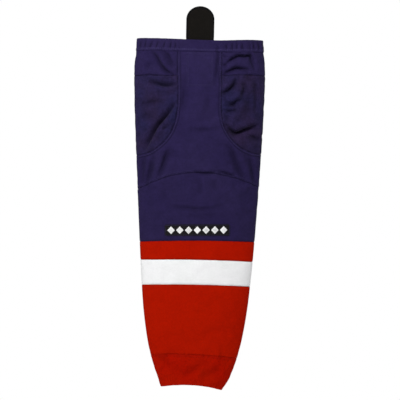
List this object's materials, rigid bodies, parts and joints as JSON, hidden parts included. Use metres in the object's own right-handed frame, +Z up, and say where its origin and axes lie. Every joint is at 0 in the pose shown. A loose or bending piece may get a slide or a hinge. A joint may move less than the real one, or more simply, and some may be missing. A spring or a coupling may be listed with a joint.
{
  "type": "hockey sock",
  "caption": "Footless ice hockey sock of sewn knit panels, with hook tabs above an elastic hem, mesh thigh panels, contrast shin bands and a narrow ankle cuff.",
  "frame": {"origin": "centre of the thigh opening, at the hem's top edge", "axes": "+Z up along the leg towards the thigh, +Y towards the back of the leg, +X to the right as seen from the front; the front faces -Y"},
  "size_m": [0.247, 0.0636, 0.7196],
  "materials": {
    "navy_knit": "fine polyester knit, slight sheen",
    "mesh_knit": "eyelet mesh knit, matt",
    "red_knit": "fine polyester knit, slight sheen",
    "white_knit": "fine polyester knit, slight sheen",
    "cuff_knit": "double ribbed knit, matt",
    "hook_tape": "woven nylon tape, matt",
    "hook_field": "moulded nylon hooks, matt",
    "elastic": "ribbed woven elastic",
    "navy_thread": "twisted polyester thread",
    "red_thread": "twisted polyester thread",
    "patch_cloth": "dense twill applique",
    "patch_print": "raised white transfer print"
  },
  "bodies": {
    "thigh": {"top_hem": "navy_knit", "hem_elastic": "elastic", "hem_stitching": "navy_thread", "front_panel": "navy_knit", "side_yoke_left": "navy_knit", "side_yoke_right": "navy_knit", "mesh_panel_left": "mesh_knit", "mesh_panel_right": "mesh_knit", "mesh_seam_stitching_left": "navy_thread", "mesh_seam_stitching_right": "navy_thread", "knee_seam_stitching": "navy_thread", "back_seam_thigh": "navy_thread", "front_tab_anchor": "hook_tape", "front_tab_stitching": "navy_thread", "back_tab_anchor": "hook_tape", "back_tab_stitching": "navy_thread"},
    "front_tab": {"front_tab_strap": "hook_tape", "front_tab_hooks": "hook_field"},
    "back_tab": {"back_tab_strap": "hook_tape", "back_tab_hooks": "hook_field"},
    "shin": {"knee_panel": "navy_knit", "red_band": "red_knit", "white_band": "white_knit", "shin_panel": "red_knit", "ankle_cuff": "cuff_knit", "cuff_stitching": "red_thread", "back_seam_shin": "red_thread", "emblem_patch": "patch_cloth", "emblem_print": "patch_print"}
  },
  "joints": [
    {"name": "knee_bend", "type": "hinge", "parent": "thigh", "child": "shin", "pos_m": [0, 0.0317, -0.281], "axis": [1, 0, 0], "range_deg": [0, 120], "stiffness_Nm_per_rad": 0.2, "springref_deg": -14.32},
    {"name": "front_tab_fold", "type": "hinge", "parent": "thigh", "child": "front_tab", "pos_m": [0, -0.029, 0.001], "axis": [1, 0, 0], "range_deg": [-15, 170], "stiffness_Nm_per_rad": 0.03},
    {"name": "back_tab_fold", "type": "hinge", "parent": "thigh", "child": "back_tab", "pos_m": [0, 0.029, 0.001], "axis": [-1, 0, 0], "range_deg": [-15, 170], "stiffness_Nm_per_rad": 0.03}
  ]
}
